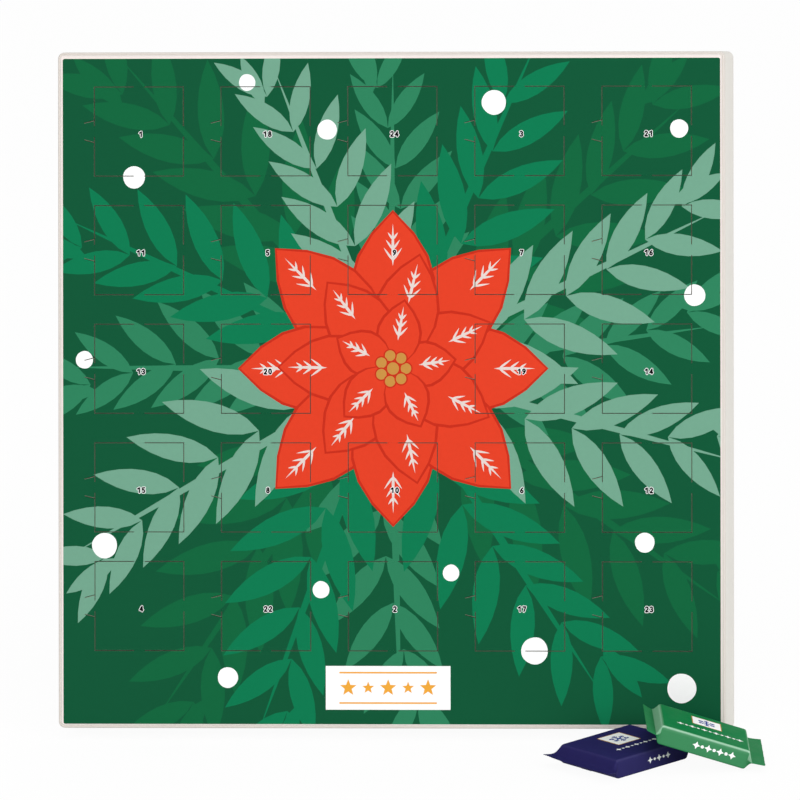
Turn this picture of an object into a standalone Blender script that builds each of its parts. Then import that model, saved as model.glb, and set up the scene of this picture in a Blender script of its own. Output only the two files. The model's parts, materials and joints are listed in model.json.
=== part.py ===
"""An advent calendar: a flat square card case that leans back on a fold-out easel, with 24 numbered doors,
a moulded insert with a pocket behind each door, a wrapped chocolate in each pocket and two more in front."""

import math

import bmesh
import bpy
from mathutils import Matrix, Vector

MM = 0.001

# clearances
FIT_GAP = 0.3 * MM
CUT_OVERRUN = 1.0 * MM

# posture
LEAN = math.radians(16)

# case
CASE_WIDTH = 341 * MM
CASE_HEIGHT = 339 * MM
CASE_DEPTH = 24 * MM
CASE_CORNER_RADIUS = 3.3 * MM
INNER_CORNER_RADIUS = 0.8 * MM
TRAY_WALL = 1.5 * MM
BACK_EDGE_CHAMFER = 0.8 * MM
CORNER_STEPS = 4

# front frame, a shallow rim that plugs into the tray
LIP_STEP = 0.6 * MM
RIM_WIDTH = 1.2 * MM
RIM_DEPTH = 2.9 * MM
LEDGE_WIDTH = 1.2 * MM
SKIRT_DEPTH = 4.1 * MM

# printed front card: margins round the field of doors and bridges of card between them
CARD_THICKNESS = 0.8 * MM
MARGIN_LEFT = 19.05 * MM
MARGIN_RIGHT = 17.05 * MM
MARGIN_HEAD = 17.55 * MM
MARGIN_FOOT = 39.05 * MM
COLUMN_BRIDGE = 19.6 * MM
ROW_BRIDGE = 15.1 * MM
TAB_LENGTH = 5.1 * MM
TAB_ROOT_HALF = 4.2 * MM
TAB_MOUTH_HALF = 5.5 * MM
DOOR_ROWS = (
    (1, 18, 24, 3, 21),
    (11, 5, 9, 7, 16),
    (13, 20, None, 19, 14),
    (15, 8, 10, 6, 12),
    (4, 22, 2, 17, 23),
)

# flow-wrapped chocolates
DOOR_PLAY = 0.6 * MM
BLOCK_THICKNESS = 10.4 * MM
BLOCK_EDGE = 0.7 * MM
SHOULDER_LENGTH = 3.2 * MM
FIN_LENGTH = 5.1 * MM
FIN_NARROWING = 0.2 * MM
FILM = 0.4 * MM
SEAM_END = 6.5 * MM
SEAM_OPENING = 0.5 * MM
BAR_EDGE = 1.0 * MM
BOXED_FINS = ((2.2 * MM, 0), (2.2 * MM, 0))
NAVY_FINS = ((1.1 * MM, 3.3 * MM), (-0.5 * MM, 0))
GREEN_FINS = ((1.0 * MM, 3.3 * MM), (0.9 * MM, 3.3 * MM))

# moulded insert
SHEET = 0.6 * MM
POCKET_END_PLAY = 1.0 * MM
POCKET_SIDE_PLAY = 0.9 * MM
POCKET_HEAD_ROOM = 1.2 * MM
POCKET_DRAFT = 0.3 * MM
POCKET_CORNER = 1.5 * MM
INSERT_CORNER_RADIUS = 2.0 * MM

# easel
EASEL_CARD = 1.2 * MM
PATCH_WIDTH = 130 * MM
PATCH_HEIGHT = 224 * MM
PATCH_FOOT = 16 * MM
PATCH_CORNER_RADIUS = 6 * MM
FIN_HINGE_FOOT = 22 * MM
FIN_HINGE_TOP = 226 * MM
FIN_FOOT_NEAR = 22 * MM
FIN_REACH = 112 * MM
FIN_TOE_HEIGHT = 14 * MM
FIN_TOP_WIDTH = 10 * MM

# loose chocolates in front, measured from the case's right side and its lower front edge
NAVY_FROM_SIDE = 45.2 * MM
NAVY_TUCK = 2.6 * MM
NAVY_TURN = math.radians(51)
GREEN_TURN = math.radians(12.5)
GREEN_TILT = math.radians(20.8)
GREEN_ROLL = math.radians(-1.9)
GREEN_SIDE_OFFSET = 5.6 * MM


def make_collection(name):
    found = bpy.data.collections.new(name)
    bpy.context.scene.collection.children.link(found)
    return found


def make_material(name, colour, roughness, metallic=0.0):
    made = bpy.data.materials.new(name)
    made.use_nodes = True
    shader = made.node_tree.nodes["Principled BSDF"]
    shader.inputs["Base Color"].default_value = (*colour, 1)
    shader.inputs["Roughness"].default_value = roughness
    shader.inputs["Metallic"].default_value = metallic
    return made


def make_empty(name, collection, parent=None):
    made = bpy.data.objects.new(name, None)
    collection.objects.link(made)
    made.parent = parent
    return made


def make_object(name, data, material, collection, parent=None, location=(0, 0, 0)):
    made = bpy.data.objects.new(name, data)
    if not data.materials:
        data.materials.append(material)
    collection.objects.link(made)
    made.parent = parent
    made.location = location
    return made


def mesh_from(bm, name):
    bmesh.ops.recalc_face_normals(bm, faces=bm.faces)
    mesh = bpy.data.meshes.new(name)
    bm.to_mesh(mesh)
    bm.free()
    return mesh


def rounded_rectangle(width, height, radius, steps=CORNER_STEPS, centre=(0, 0)):
    """Points of a rounded rectangle, anticlockwise from its right side's lower end."""
    points = []
    corners = ((1, -1, -90), (1, 1, 0), (-1, 1, 90), (-1, -1, 180))
    for sign_x, sign_y, start in corners:
        middle_x = centre[0] + sign_x * (width / 2 - radius)
        middle_y = centre[1] + sign_y * (height / 2 - radius)
        for step in range(steps + 1):
            angle = math.radians(start + 90 * step / steps)
            points.append((middle_x + radius * math.cos(angle), middle_y + radius * math.sin(angle)))
    return points


def case_outline(inset):
    """The case's outline drawn in by inset, in the plane of the front with y from the case's foot."""
    radius = max(CASE_CORNER_RADIUS - inset, INNER_CORNER_RADIUS)
    return rounded_rectangle(
        CASE_WIDTH - 2 * inset, CASE_HEIGHT - 2 * inset, radius, centre=(0, CASE_HEIGHT / 2)
    )


def add_loop(bm, points, z):
    return [bm.verts.new((x, y, z)) for x, y in points]


def join_loops(bm, first, second):
    count = len(first)
    for i in range(count):
        j = (i + 1) % count
        bm.faces.new((first[i], first[j], second[j], second[i]))


def flat_outline(name, outlines, thickness, material, collection, parent, location):
    """A flat piece of the given closed outlines, whose inner ones are holes, centred on its thickness."""
    curve = bpy.data.curves.new(name, "CURVE")
    curve.dimensions = "2D"
    curve.fill_mode = "BOTH"
    curve.extrude = thickness / 2
    for outline in outlines:
        spline = curve.splines.new("POLY")
        spline.points.add(len(outline) - 1)
        for point, (x, y) in zip(spline.points, outline):
            point.co = (x, y, 0, 1)
        spline.use_cyclic_u = True
    return make_object(name, curve, material, collection, parent, location)


def door_size():
    """Width and height of a door: what margins and bridges leave of the case, shared out."""
    rows, columns = len(DOOR_ROWS), len(DOOR_ROWS[0])
    across = CASE_WIDTH - MARGIN_LEFT - MARGIN_RIGHT - (columns - 1) * COLUMN_BRIDGE
    upward = CASE_HEIGHT - MARGIN_HEAD - MARGIN_FOOT - (rows - 1) * ROW_BRIDGE
    return across / columns, upward / rows


def door_places():
    """(number, x, y) of each door's middle in the plane of the front."""
    width, height = door_size()
    places = []
    for row, numbers in enumerate(DOOR_ROWS):
        y = CASE_HEIGHT - MARGIN_HEAD - height / 2 - row * (height + ROW_BRIDGE)
        for column, number in enumerate(numbers):
            x = -CASE_WIDTH / 2 + MARGIN_LEFT + width / 2 + column * (width + COLUMN_BRIDGE)
            if number is not None:
                places.append((number, x, y))
    return sorted(places)


def tray_front():
    return -(RIM_DEPTH + FIT_GAP)


def card_inset():
    return LIP_STEP + RIM_WIDTH + FIT_GAP


def frame_inner():
    return LIP_STEP + RIM_WIDTH + LEDGE_WIDTH


def sheet_front():
    return -(CARD_THICKNESS + FIT_GAP)


def pocket_seat():
    """Depth of the pocket floor that a chocolate lies on."""
    return -(CARD_THICKNESS + POCKET_HEAD_ROOM + BLOCK_THICKNESS + FIT_GAP)


def chocolate_middle():
    return pocket_seat() + FIT_GAP + BLOCK_THICKNESS / 2


def block_side():
    """A chocolate has to pass through its door."""
    return min(door_size()) - DOOR_PLAY


def fin_width():
    return block_side() - 2 * FIN_NARROWING


def chocolate_length():
    return block_side() + 2 * (SHOULDER_LENGTH + FIN_LENGTH)


def make_tray(material, collection, parent):
    """An open box: its walls and back are one sheet, thickened inwards."""
    bm = bmesh.new()
    back = add_loop(bm, case_outline(BACK_EDGE_CHAMFER), -CASE_DEPTH)
    shoulder = add_loop(bm, case_outline(0), -CASE_DEPTH + BACK_EDGE_CHAMFER)
    lip = add_loop(bm, case_outline(0), tray_front())
    bm.faces.new(reversed(back))
    join_loops(bm, back, shoulder)
    join_loops(bm, shoulder, lip)
    mesh = bpy.data.meshes.new("case_tray")
    bm.to_mesh(mesh)
    bm.free()
    tray = make_object("case_tray", mesh, material, collection, parent)
    solidify = tray.modifiers.new("wall", "SOLIDIFY")
    solidify.thickness = TRAY_WALL
    solidify.offset = -1
    solidify.use_even_offset = True
    return tray


def make_frame(material, collection, parent):
    """The rim: an L section with a skirt that plugs into the tray, run round the outline."""
    ledge_front = -(CARD_THICKNESS + FIT_GAP)
    rim_inner = LIP_STEP + RIM_WIDTH
    skirt_outer = TRAY_WALL + FIT_GAP
    skirt_back = -(RIM_DEPTH + SKIRT_DEPTH)
    section = (
        (LIP_STEP, 0),
        (rim_inner, 0),
        (rim_inner, ledge_front),
        (frame_inner(), ledge_front),
        (frame_inner(), skirt_back),
        (skirt_outer, skirt_back),
        (skirt_outer, -RIM_DEPTH),
        (LIP_STEP, -RIM_DEPTH),
    )
    bm = bmesh.new()
    rings = [add_loop(bm, case_outline(inset), z) for inset, z in section]
    for i, ring in enumerate(rings):
        join_loops(bm, ring, rings[(i + 1) % len(rings)])
    return make_object("front_frame", mesh_from(bm, "front_frame"), material, collection, parent)


def door_hole(x, y):
    """A door's cut line with the two slanted slits of its thumb tab at its left."""
    width, height = door_size()
    right = x + width / 2 + FIT_GAP
    left = x - width / 2 - FIT_GAP
    half = height / 2 + FIT_GAP
    slit = FIT_GAP
    tip = left - TAB_LENGTH
    return [
        (right, y - half),
        (right, y + half),
        (left, y + half),
        (left, y + TAB_MOUTH_HALF + slit),
        (tip, y + TAB_ROOT_HALF + slit),
        (tip, y + TAB_ROOT_HALF),
        (left, y + TAB_MOUTH_HALF),
        (left, y - TAB_MOUTH_HALF),
        (tip, y - TAB_ROOT_HALF),
        (tip, y - TAB_ROOT_HALF - slit),
        (left, y - TAB_MOUTH_HALF - slit),
        (left, y - half),
    ]


def make_card(material, collection, parent):
    outlines = [case_outline(card_inset())]
    outlines += [door_hole(x, y) for _, x, y in door_places()]
    middle = (0, 0, -CARD_THICKNESS / 2)
    return flat_outline("front_card", outlines, CARD_THICKNESS, material, collection, parent, middle)


def make_doors(material, collection, parent):
    """Each door turns about its right edge on the front surface, where its origin is."""
    width, height = door_size()
    bm = bmesh.new()
    bmesh.ops.create_cube(bm, size=1)
    bmesh.ops.scale(bm, vec=(width, height, CARD_THICKNESS), verts=bm.verts)
    bmesh.ops.translate(bm, vec=(-width / 2, 0, -CARD_THICKNESS / 2), verts=bm.verts)
    mesh = mesh_from(bm, "door")
    for number, x, y in door_places():
        hinge = (x + width / 2, y, 0)
        make_object(f"door_{number:02d}", mesh, material, collection, parent, hinge)


def make_insert(material, collection, parent):
    """One moulded sheet behind the card: a pocket under each door and a skirt down to the case's back."""
    outer_inset = frame_inner() + FIT_GAP
    outer = rounded_rectangle(
        CASE_WIDTH - 2 * outer_inset,
        CASE_HEIGHT - 2 * outer_inset,
        INSERT_CORNER_RADIUS,
        centre=(0, CASE_HEIGHT / 2),
    )
    width = chocolate_length() + 2 * POCKET_END_PLAY
    height = block_side() + 2 * POCKET_SIDE_PLAY
    bm = bmesh.new()
    top = sheet_front()
    rim = add_loop(bm, outer, top)
    mouths = []
    for _, x, y in door_places():
        mouths.append(add_loop(bm, rounded_rectangle(width, height, POCKET_CORNER, 1, (x, y)), top))
    for loop in [rim] + mouths:
        for i, vert in enumerate(loop):
            bm.edges.new((vert, loop[(i + 1) % len(loop)]))
    bmesh.ops.triangle_fill(bm, edges=bm.edges[:], use_beauty=True, normal=(0, 0, 1))
    for (_, x, y), mouth in zip(door_places(), mouths):
        floor_points = rounded_rectangle(
            width - 2 * POCKET_DRAFT, height - 2 * POCKET_DRAFT, POCKET_CORNER, 1, (x, y)
        )
        floor = add_loop(bm, floor_points, pocket_seat())
        join_loops(bm, mouth, floor)
        bm.faces.new(floor)
    foot = add_loop(bm, outer, -(CASE_DEPTH - TRAY_WALL - FIT_GAP))
    join_loops(bm, foot, rim)
    bmesh.ops.recalc_face_normals(bm, faces=bm.faces)
    bm.faces.ensure_lookup_table()
    flat = [face for face in bm.faces if abs(face.calc_center_median().z - top) < FIT_GAP]
    if sum(face.normal.z for face in flat) < 0:
        bmesh.ops.reverse_faces(bm, faces=bm.faces)
    mesh = bpy.data.meshes.new("pocket_insert")
    bm.to_mesh(mesh)
    bm.free()
    insert = make_object("pocket_insert", mesh, material, collection, parent)
    solidify = insert.modifiers.new("sheet", "SOLIDIFY")
    solidify.thickness = SHEET
    solidify.offset = -1
    solidify.use_even_offset = True
    return insert


def section_points(width, thickness, edge, rise):
    """Eight points of a rectangle with its corners cut, in the plane across the chocolate."""
    half, up = width / 2, thickness / 2
    return [
        (half, -up + edge),
        (half, up - edge),
        (half - edge, up),
        (-half + edge, up),
        (-half, up - edge),
        (-half, -up + edge),
        (-half + edge, -up),
        (half - edge, -up),
    ], rise


def wrapper_shell(name, fins):
    """The film's outer form, lofted along its length; fins has the rise and the spread of the one at each end."""
    side = block_side()
    block_end = side / 2
    root = block_end + SHOULDER_LENGTH
    tip = root + FIN_LENGTH
    fin_edge = FILM / 4
    full = (side, BLOCK_THICKNESS, BLOCK_EDGE, 0)
    (left_rise, left_spread), (right_rise, right_spread) = fins
    left_width = fin_width() + 2 * left_spread
    right_width = fin_width() + 2 * right_spread
    stations = (
        (-tip, (left_width, FILM, fin_edge, left_rise)),
        (-root, (left_width, FILM, fin_edge, 0)),
        (-block_end, full),
        (block_end, full),
        (root, (right_width, FILM, fin_edge, 0)),
        (tip, (right_width, FILM, fin_edge, right_rise)),
    )
    bm = bmesh.new()
    rings = []
    for along, values in stations:
        points, rise = section_points(*values)
        rings.append([bm.verts.new((along, y, z + rise)) for y, z in points])
    for first, second in zip(rings, rings[1:]):
        join_loops(bm, first, second)
    bm.faces.new(rings[0])
    bm.faces.new(reversed(rings[-1]))
    return mesh_from(bm, name)


def bar_size():
    side = block_side() - 2 * (FILM + FIT_GAP)
    return side, side, BLOCK_THICKNESS - 2 * (FILM + FIT_GAP)


def box_cutter(name, size, location, cutters):
    bm = bmesh.new()
    bmesh.ops.create_cube(bm, size=1)
    bmesh.ops.scale(bm, vec=size, verts=bm.verts)
    made = bpy.data.objects.new(name, mesh_from(bm, name))
    made.location = location
    made.hide_render = True
    made.display_type = "WIRE"
    cutters.objects.link(made)
    return made


def wrapper_mesh(name, fins, cutters, collection):
    """The film with the hollow that its bar lies in, open along the seam under it."""
    cavity_size = tuple(side + 2 * FIT_GAP for side in bar_size())
    seam_depth = FILM + 2 * CUT_OVERRUN
    seam_size = (block_side() - 2 * SEAM_END, SEAM_OPENING, seam_depth)
    seam_place = (0, 0, -BLOCK_THICKNESS / 2 + FILM / 2)
    shell = bpy.data.objects.new(name, wrapper_shell(name, fins))
    collection.objects.link(shell)
    for label, size, place in (("cavity", cavity_size, (0, 0, 0)), ("seam", seam_size, seam_place)):
        cut = shell.modifiers.new(label, "BOOLEAN")
        cut.operation = "DIFFERENCE"
        cut.solver = "EXACT"
        cut.object = box_cutter(f"{name}_{label}_cutter", size, place, cutters)
    bpy.context.view_layer.update()
    graph = bpy.context.evaluated_depsgraph_get()
    mesh = bpy.data.meshes.new_from_object(shell.evaluated_get(graph))
    mesh.name = name
    bpy.data.objects.remove(shell)
    return mesh


def bar_mesh(name):
    """A bar of chocolate, a slab whose upper edges slope as it leaves its mould."""
    side_x, side_y, thickness = bar_size()
    upper = (side_x - 2 * BAR_EDGE, side_y - 2 * BAR_EDGE)
    bm = bmesh.new()
    bmesh.ops.create_cube(bm, size=1)
    for vert in bm.verts:
        width, height = upper if vert.co.z > 0 else (side_x, side_y)
        vert.co = Vector((vert.co.x * width, vert.co.y * height, vert.co.z * thickness))
    return mesh_from(bm, name)


def make_boxed_chocolates(material, collection, parent):
    """A wrapped chocolate in each pocket, bar and film as one solid, its fins bent up by the pocket's ends."""
    mesh = wrapper_shell("wrapped_chocolate", BOXED_FINS)
    for number, x, y in door_places():
        centre = (x, y, chocolate_middle())
        make_object(f"chocolate_{number:02d}", mesh, material, collection, parent, centre)


def loose_navy_place():
    """The navy chocolate's middle, so that the rear corner of its fin reaches under the leaning case."""
    tip, half = chocolate_length() / 2, fin_width() / 2
    reach = tip * math.sin(NAVY_TURN) + half * math.cos(NAVY_TURN)
    return (CASE_WIDTH / 2 - NAVY_FROM_SIDE, NAVY_TUCK - reach, BLOCK_THICKNESS / 2)


def loose_green_height():
    """Height of the green chocolate's middle with its lower end on the table."""
    half = block_side() / 2
    across = half * math.cos(GREEN_TILT) * abs(math.sin(GREEN_ROLL))
    under = BLOCK_THICKNESS / 2 * math.cos(GREEN_TILT) * math.cos(GREEN_ROLL)
    return half * math.sin(GREEN_TILT) + across + under


def loose_green_place():
    """The green chocolate's middle, so that its underside lies on the navy one's right corner."""
    half = block_side() / 2
    navy_x, navy_y, _ = loose_navy_place()
    corner = Vector((navy_x, navy_y, 0)) + Matrix.Rotation(NAVY_TURN, 3, "Z") @ Vector((half, -half, 0))
    drop = loose_green_height() - (BLOCK_THICKNESS + FIT_GAP)
    level = math.cos(GREEN_TILT) * math.cos(GREEN_ROLL)
    up_slope = drop * level - BLOCK_THICKNESS / 2 + GREEN_SIDE_OFFSET * math.sin(GREEN_ROLL)
    along = up_slope / (math.sin(GREEN_TILT) * math.cos(GREEN_ROLL))
    from_middle = Matrix.Rotation(GREEN_TURN, 3, "Z") @ Vector((along, GREEN_SIDE_OFFSET, 0))
    middle = corner - from_middle
    return (middle.x, middle.y, loose_green_height())


def make_loose_chocolates(materials, collection, cutters, parent):
    places = {
        "navy": (loose_navy_place(), (0, 0, NAVY_TURN), NAVY_FINS),
        "green": (loose_green_place(), (GREEN_ROLL, GREEN_TILT, GREEN_TURN), GREEN_FINS),
    }
    for colour, (place, turn, fins) in places.items():
        name = f"loose_wrapper_{colour}"
        mesh = wrapper_mesh(name, fins, cutters, collection)
        wrapper = make_object(name, mesh, materials[f"{colour} film"], collection, parent, place)
        wrapper.rotation_euler = turn
        bar = f"loose_bar_{colour}"
        make_object(bar, bar_mesh(bar), materials["chocolate"], collection, wrapper)


def patch_back():
    return -(CASE_DEPTH + FIT_GAP + EASEL_CARD)


def floor_line(z):
    """Height in the plane of the front at which the table lies, at depth z behind the case."""
    return -(z + CASE_DEPTH - BACK_EDGE_CHAMFER) * math.tan(LEAN)


def make_easel(materials, collection, parent):
    """A card patch on the case's back and the fin hinged to it, which stands out square to the back."""
    patch_middle = (0, PATCH_FOOT + PATCH_HEIGHT / 2, patch_back() + EASEL_CARD / 2)
    patch = rounded_rectangle(PATCH_WIDTH, PATCH_HEIGHT, PATCH_CORNER_RADIUS)
    flat_outline("easel_patch", [patch], EASEL_CARD, materials["easel"], collection, parent, patch_middle)
    hinge_z = patch_back() - FIT_GAP
    outline = [
        (0, FIN_HINGE_FOOT),
        (FIN_FOOT_NEAR, floor_line(hinge_z - FIN_FOOT_NEAR)),
        (FIN_REACH, floor_line(hinge_z - FIN_REACH)),
        (FIN_REACH, floor_line(hinge_z - FIN_REACH) + FIN_TOE_HEIGHT),
        (FIN_TOP_WIDTH, FIN_HINGE_TOP),
        (0, FIN_HINGE_TOP),
    ]
    pivot = make_empty("easel_hinge", collection, parent)
    pivot.location = (EASEL_CARD / 2, 0, hinge_z)
    pivot.rotation_euler = (0, math.radians(90), 0)
    middle = (0, 0, -EASEL_CARD / 2)
    flat_outline("easel_fin", [outline], EASEL_CARD, materials["easel"], collection, pivot, middle)


def make_materials():
    return {
        "case": make_material("case board", (0.75, 0.71, 0.65), 0.8),
        "frame": make_material("frame board", (0.74, 0.69, 0.63), 0.8),
        "card": make_material("printed card", (0.01, 0.10, 0.045), 0.55),
        "door": make_material("printed door", (0.02, 0.22, 0.09), 0.55),
        "insert": make_material("moulded fibre", (0.62, 0.56, 0.46), 0.9),
        "easel": make_material("grey board", (0.55, 0.52, 0.47), 0.9),
        "boxed film": make_material("red film", (0.55, 0.03, 0.02), 0.35),
        "navy film": make_material("navy film", (0.015, 0.013, 0.09), 0.35),
        "green film": make_material("green film", (0.02, 0.23, 0.08), 0.35),
        "chocolate": make_material("milk chocolate", (0.13, 0.05, 0.02), 0.45),
    }


def world_points(made, graph):
    shown = made.evaluated_get(graph)
    points = [shown.matrix_world @ vert.co for vert in shown.to_mesh().vertices]
    shown.to_mesh_clear()
    return points


def stand_on_origin(root, collection):
    """Moves the whole part so that its box has its bottom centre at the origin."""
    bpy.context.view_layer.update()
    graph = bpy.context.evaluated_depsgraph_get()
    points = []
    for made in collection.objects:
        if made.type != "EMPTY":
            points += world_points(made, graph)
    low = [min(point[axis] for point in points) for axis in range(3)]
    high = [max(point[axis] for point in points) for axis in range(3)]
    root.location = (-(low[0] + high[0]) / 2, -(low[1] + high[1]) / 2, -low[2])


def build():
    for old in list(bpy.data.objects):
        bpy.data.objects.remove(old)
    collection = make_collection("advent_calendar")
    cutters = make_collection("cutters")
    cutters.hide_render = True
    materials = make_materials()
    root = make_empty("calendar", collection)
    front = make_empty("front_plane", collection, root)
    front.rotation_euler = (math.radians(90) - LEAN, 0, 0)
    front.location = (0, 0, (CASE_DEPTH - BACK_EDGE_CHAMFER) * math.sin(LEAN))
    make_tray(materials["case"], collection, front)
    make_frame(materials["frame"], collection, front)
    make_card(materials["card"], collection, front)
    make_doors(materials["door"], collection, front)
    make_insert(materials["insert"], collection, front)
    make_boxed_chocolates(materials["boxed film"], collection, front)
    make_easel(materials, collection, front)
    make_loose_chocolates(materials, collection, cutters, root)
    stand_on_origin(root, collection)


build()
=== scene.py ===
"""The looks of the advent calendar: its printed card and doors, its board case,
its moulded insert and its wrapped chocolates."""

import json
from math import atan, atan2, copysign, cos, pi, radians, sin, tan

import bmesh
import bpy
import numpy as np
from mathutils import Matrix, Vector
from mathutils.geometry import delaunay_2d_cdt


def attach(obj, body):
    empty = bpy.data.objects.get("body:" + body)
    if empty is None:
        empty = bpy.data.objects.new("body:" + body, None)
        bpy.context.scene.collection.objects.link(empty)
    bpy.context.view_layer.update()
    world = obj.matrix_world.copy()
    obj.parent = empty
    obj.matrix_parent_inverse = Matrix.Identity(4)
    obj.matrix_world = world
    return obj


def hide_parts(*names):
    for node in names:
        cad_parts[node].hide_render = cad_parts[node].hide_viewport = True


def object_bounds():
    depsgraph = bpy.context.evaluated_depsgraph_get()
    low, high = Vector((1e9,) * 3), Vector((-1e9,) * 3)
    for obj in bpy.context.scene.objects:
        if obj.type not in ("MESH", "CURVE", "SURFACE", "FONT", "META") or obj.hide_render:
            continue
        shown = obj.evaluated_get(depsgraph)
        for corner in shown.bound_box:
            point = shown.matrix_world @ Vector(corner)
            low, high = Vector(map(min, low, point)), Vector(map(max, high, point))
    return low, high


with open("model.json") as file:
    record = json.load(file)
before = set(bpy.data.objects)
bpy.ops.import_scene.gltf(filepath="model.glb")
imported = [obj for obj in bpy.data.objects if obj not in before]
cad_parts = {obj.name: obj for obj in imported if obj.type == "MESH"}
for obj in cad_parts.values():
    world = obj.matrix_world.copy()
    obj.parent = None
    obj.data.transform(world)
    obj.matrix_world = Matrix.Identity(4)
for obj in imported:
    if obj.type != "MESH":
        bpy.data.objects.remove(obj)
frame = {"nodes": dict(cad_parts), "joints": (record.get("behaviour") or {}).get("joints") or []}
cad_low, cad_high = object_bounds()

MM = 0.001

# camera and picture
IMAGE_SIZE = 800
MM_PER_PIXEL = 0.5019
AZIMUTH = radians(12)
ELEVATION = radians(16)
CAMERA_DISTANCE = 17.5
CAMERA_CLIP_END = 500
SENSOR_WIDTH = 36
CASE_CORNER_PIXEL = (58.35, 727.9)

# floor and light
FLOOR_HALF = 60
FLOOR_GAP = 0.02 * MM
FLOOR_WHITE_SHARE = 0.95
WORLD_LIGHT = 0.66
LAMPS = (
    # name, place, target and size in metres, and power in watts
    ("key", (-1.5, -3.2, 1.7), (0, 0, 0.15), 1.5, 15),
    ("top", (0.4, -0.7, 2.6), (0, 0, 0.1), 1.3, 13),
    ("fill", (3.0, -1.9, 1.2), (0, 0, 0.15), 1.4, 41.5),
)

# edges between soft-shaded faces stay sharp from this angle on
SHARP_ANGLE = radians(50)

# case: its outer corner, its back board and the tape on the easel's fold
CORNER_RADIUS = 3.3 * MM
INNER_RADIUS = 0.8 * MM
CORNER_STEPS = 8
BACK_LINER_INSET = 5 * MM
BACK_LINER_CORNER = 4 * MM
TAPE_WIDTH = 13 * MM
TAPE_THICKNESS = 0.1 * MM
TAPE_CORNER = 1.2 * MM
TAPE_FOOT_GAP = 6 * MM
TAPE_HEAD_GAP = 4 * MM
TAPE_FOLD_GAP = 0.4 * MM
TAPE_FIN_FOLD_GAP = 0.6 * MM
TAPE_FIN_NARROWER = 2 * MM

# thin plates on the back: inset and height of their outlines, in mm, from their root to their outer face
BACK_LINER_LEVELS = ((0.0, 0.02), (0.0, -0.12), (0.1, -0.2))
TAPE_LEVELS = ((0.0, 0.02), (0.0, -TAPE_THICKNESS / MM))

# sections of the case's rim and tray: inset from the outline and height over the front, both in mm, and look
# look 1, the rim's groove, is lighter and warmer than the rim round it: painted warm bounce light in the
# groove's shade
RIM_SECTION = (
    (0.14, -2.85, 0), (0.10, -2.2, 0), (0.10, -0.8, 0), (0.17, -0.42, 0), (0.34, -0.16, 0), (0.6, -0.01, 0),
    (0.86, 0.0, 0), (1.04, -0.09, 1), (1.16, -0.2, 1), (1.3, -0.19, 1), (1.42, -0.07, 2), (1.55, -0.01, 2),
    (1.8, 0.0, 2), (1.8, -1.1, 2), (3.0, -1.1, 2), (3.0, -7.0, 2), (1.8, -7.0, 2), (1.8, -2.85, 2),
)
TRAY_SECTION = (
    (0.8, -24.0, 0), (0.42, -23.92, 0), (0.12, -23.62, 0), (0.0, -23.2, 0), (0.0, -18.0, 0), (0.0, -10.0, 0),
    (0.0, -3.6, 0), (0.08, -3.25, 0), (0.28, -3.05, 0), (0.55, -2.99, 0), (1.5, -2.99, 0), (1.5, -22.5, 0),
)

# printed sheet: its heights over the card, its insets, the doors' cuts and the thumb tabs' slits
PRINT_LOW = 0.004 * MM
PRINT_HIGH = 0.030 * MM
RIM_INSET = 1.83 * MM
PRINT_INSET_LOW = Vector((2.66 * MM, 2.1 * MM))
PRINT_INSET_HIGH = Vector((2.26 * MM, 3.25 * MM))
PRINT_CORNER = 1.0 * MM
# the card's dark core colour shows in this strip beside each cut, as painted shade of the cut line
CUT_REVEAL = 0.07 * MM
NICK_HALF = 2.7 * MM
NICK_GAP = 0.01 * MM
CREASE_OVERLAP = 0.04 * MM
TAB_LENGTH = 5.1 * MM
TAB_ROOT_HALF = 4.2 * MM
TAB_MOUTH_HALF = 5.5 * MM
SLIT_HALF = 0.24 * MM
SLIT_END_SHARE = 0.9

# points closer than MERGE become one, and slivers under SMALLEST_AREA square metres are dropped
MERGE = 0.0005 * MM
SMALLEST_AREA = 1e-15

# numbers, drawn in boxes of height 1
DIGIT_BOX_WIDTH = 0.56
DIGIT_HEIGHT = 2.9 * MM
DIGIT_WIDENING = 1.1
DIGIT_STROKE = 0.27
DIGIT_ADVANCE = 0.75
DIGIT_SHIFT = (0.97 * MM, -1.4 * MM)
HALO = 0.27 * MM
NUMBER_LIFT = 0.02 * MM
NUMBER_ROOT = 0.01 * MM

# wrapped chocolates: how the loose ones lie
NAVY_TURN = radians(51)
GREEN_TURN = radians(12.5)
GREEN_TILT = radians(20.8)
GREEN_ROLL = radians(-1.9)

# their film: the body, the puckered shoulders, the ribbed fins and the cavity round the bar
TOP_INSET = 0.3 * MM
FOOT_INSET = 0.1 * MM
SIDE_INSET = 0.1 * MM
CROWN = 0.12 * MM
RIDGE_RADIUS = 1.2 * MM
RIDGE_DIP = 0.35 * MM
PUCKER_HEIGHT = 0.09 * MM
PUCKER_LENGTHS = (1.9 * MM, 1.13 * MM)
PUCKER_MARGIN = 2 * MM
FIN_THICKNESS = 0.36 * MM
RIB_PITCH = 1.5 * MM
RIB_HEIGHT = 0.09 * MM
RIB_FADE = 0.8 * MM
ZIGZAG = 0.3 * MM
CAVITY_GAP = 0.12 * MM
SEAM_HALF_LENGTH = 22 * MM

# steps along a wrap, and round its section: across the top, round a corner and down a side;
# NEAR_RIDGE holds further places, as shares of the ridge's radius
SHOULDER_STEPS = 9
FIN_STEPS = 7
BODY_STEPS = 12
NEAR_RIDGE = (0.25, 0.5, 0.75)
LOOSE_STEPS = (64, 5, 6)
BOXED_STEPS = (40, 3, 4)

# print on the films: how far it stands out, how deep it is rooted, and a label's border
LABEL_LIFT = 0.03 * MM
LABEL_ROOT = 0.25 * MM
LABEL_BORDER = 0.45 * MM
STARS_ROOT = 0.12 * MM

# the films' colours in the pockets
BOXED_FILMS = ("red", "navy", "gold", "green", "brown")

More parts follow.
